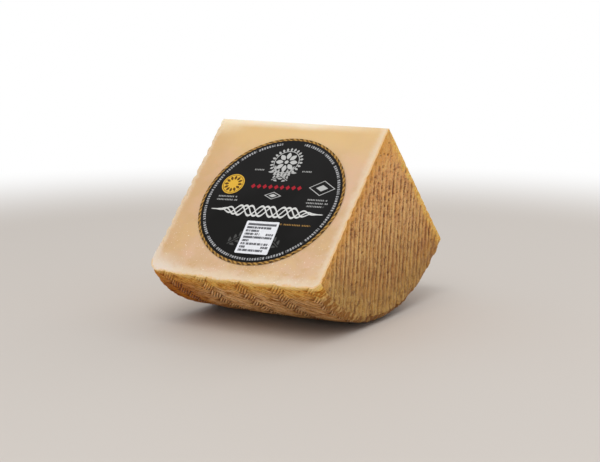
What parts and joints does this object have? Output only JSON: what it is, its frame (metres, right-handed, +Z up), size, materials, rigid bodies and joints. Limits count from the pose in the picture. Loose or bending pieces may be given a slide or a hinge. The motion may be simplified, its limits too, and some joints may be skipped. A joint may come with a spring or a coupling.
{
  "type": "aged sheep cheese wedge",
  "caption": "Quarter of an aged sheep cheese wheel on its curved side: plaited print round the side, grooved flat faces, smooth cut faces, a round paper label and a small sticker.",
  "frame": {"origin": "middle of the small flat on which the quarter rests, under the middle of its sharp edge", "axes": "+Z up through the sharp edge; X along the wheel's axis, from one grooved flat face to the other; -Y towards the front, where the cut face with the round label looks up to the front"},
  "size_m": [0.1021, 0.144, 0.1011],
  "materials": {
    "cheese": "waxy pale paste on the cut faces, golden-brown dry rind with darker pits on the printed faces",
    "label_paper": "black printed paper with a gold rim, satin varnish",
    "sticker_paper": "white thermal paper with grey printed bars"
  },
  "bodies": {
    "root": {"cheese_wedge": "cheese", "round_label": "label_paper", "white_sticker": "sticker_paper"}
  },
  "joints": []
}
